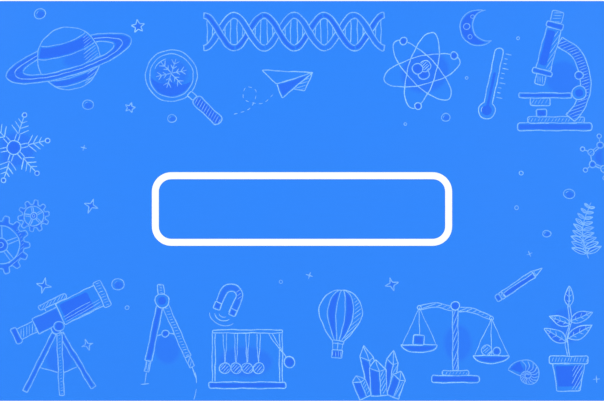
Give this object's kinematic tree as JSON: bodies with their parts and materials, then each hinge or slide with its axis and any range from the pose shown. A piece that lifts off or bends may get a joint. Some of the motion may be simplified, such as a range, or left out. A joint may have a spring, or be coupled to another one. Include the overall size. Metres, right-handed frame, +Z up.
{
  "type": "illustrated title board",
  "caption": "Upright rectangular wall board with a printed blue face of pale line drawings round a bare title frame, on a plywood panel with screwed timber rails and a hook-over wall cleat.",
  "frame": {"origin": "middle of the wall cleat's back face, which lies on the wall", "axes": "+Y out of the board's back, into the wall; the print looks along -Y, +X is to its right and +Z is up"},
  "size_m": [0.91, 0.0286, 0.6],
  "materials": {
    "printed_laminate": "satin, bright blue print with raised pale blue line work and deeper blue fills",
    "plywood": "sanded birch veneer, clear matt oil",
    "timber": "planed pine, bare",
    "plate_steel": "zinc-plated, satin",
    "screw_steel": "yellow-passivated steel",
    "pad_rubber": "matt black"
  },
  "bodies": {
    "root": {"printed_face": "printed_laminate", "plywood_panel": "plywood", "rail_left": "timber", "rail_right": "timber", "rail_top": "timber", "rail_bottom": "timber", "centre_batten": "timber", "wall_cleat": "timber", "corner_plate_bottom_left": "plate_steel", "corner_plate_bottom_right": "plate_steel", "corner_plate_top_left": "plate_steel", "corner_plate_top_right": "plate_steel", "plate_screw_bottom_left_1": "screw_steel", "plate_screw_bottom_left_2": "screw_steel", "plate_screw_bottom_left_3": "screw_steel", "plate_screw_bottom_left_4": "screw_steel", "plate_screw_bottom_right_1": "screw_steel", "plate_screw_bottom_right_2": "screw_steel", "plate_screw_bottom_right_3": "screw_steel", "plate_screw_bottom_right_4": "screw_steel", "plate_screw_top_left_1": "screw_steel", "plate_screw_top_left_2": "screw_steel", "plate_screw_top_left_3": "screw_steel", "plate_screw_top_left_4": "screw_steel", "plate_screw_top_right_1": "screw_steel", "plate_screw_top_right_2": "screw_steel", "plate_screw_top_right_3": "screw_steel", "plate_screw_top_right_4": "screw_steel", "rail_left_screw_1": "screw_steel", "rail_left_screw_2": "screw_steel", "rail_left_screw_3": "screw_steel", "rail_right_screw_1": "screw_steel", "rail_right_screw_2": "screw_steel", "rail_right_screw_3": "screw_steel", "rail_top_screw_1": "screw_steel", "rail_top_screw_2": "screw_steel", "rail_top_screw_3": "screw_steel", "rail_top_screw_4": "screw_steel", "rail_bottom_screw_1": "screw_steel", "rail_bottom_screw_2": "screw_steel", "rail_bottom_screw_3": "screw_steel", "rail_bottom_screw_4": "screw_steel", "centre_batten_screw_1": "screw_steel", "centre_batten_screw_2": "screw_steel", "centre_batten_screw_3": "screw_steel", "wall_pad_bottom_left": "pad_rubber", "wall_pad_bottom_right": "pad_rubber", "wall_pad_top_left": "pad_rubber", "wall_pad_top_right": "pad_rubber"}
  },
  "joints": []
}
